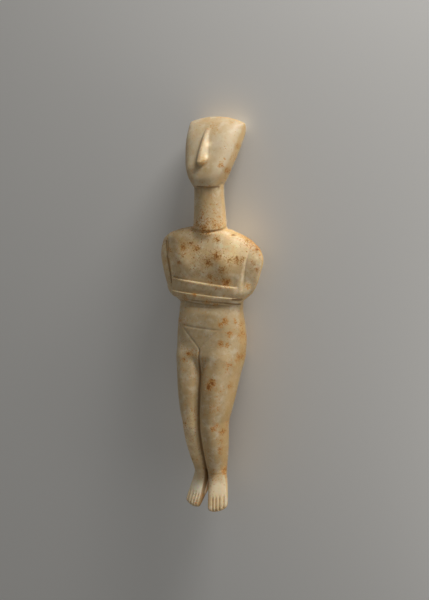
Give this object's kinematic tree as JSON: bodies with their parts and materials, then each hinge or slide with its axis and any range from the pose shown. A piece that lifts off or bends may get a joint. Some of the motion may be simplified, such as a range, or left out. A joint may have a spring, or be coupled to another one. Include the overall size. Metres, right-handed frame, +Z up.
{
  "type": "cycladic figurine",
  "caption": "Carved marble female figure with folded arms, a long neck and a flat face with only a nose, lying on its back.",
  "frame": {"origin": "on the resting plane, under the middle of the figure's bounding box, with the figure lying on its back", "axes": "+X towards the figure's left, +Y from the toes to the crown, +Z up out of the figure's front"},
  "size_m": [0.1826, 0.6198, 0.088],
  "materials": {
    "marble": "softly polished cream marble with rust-brown root marks and stains"
  },
  "bodies": {
    "root": {"marble_figurine": "marble"}
  },
  "joints": []
}
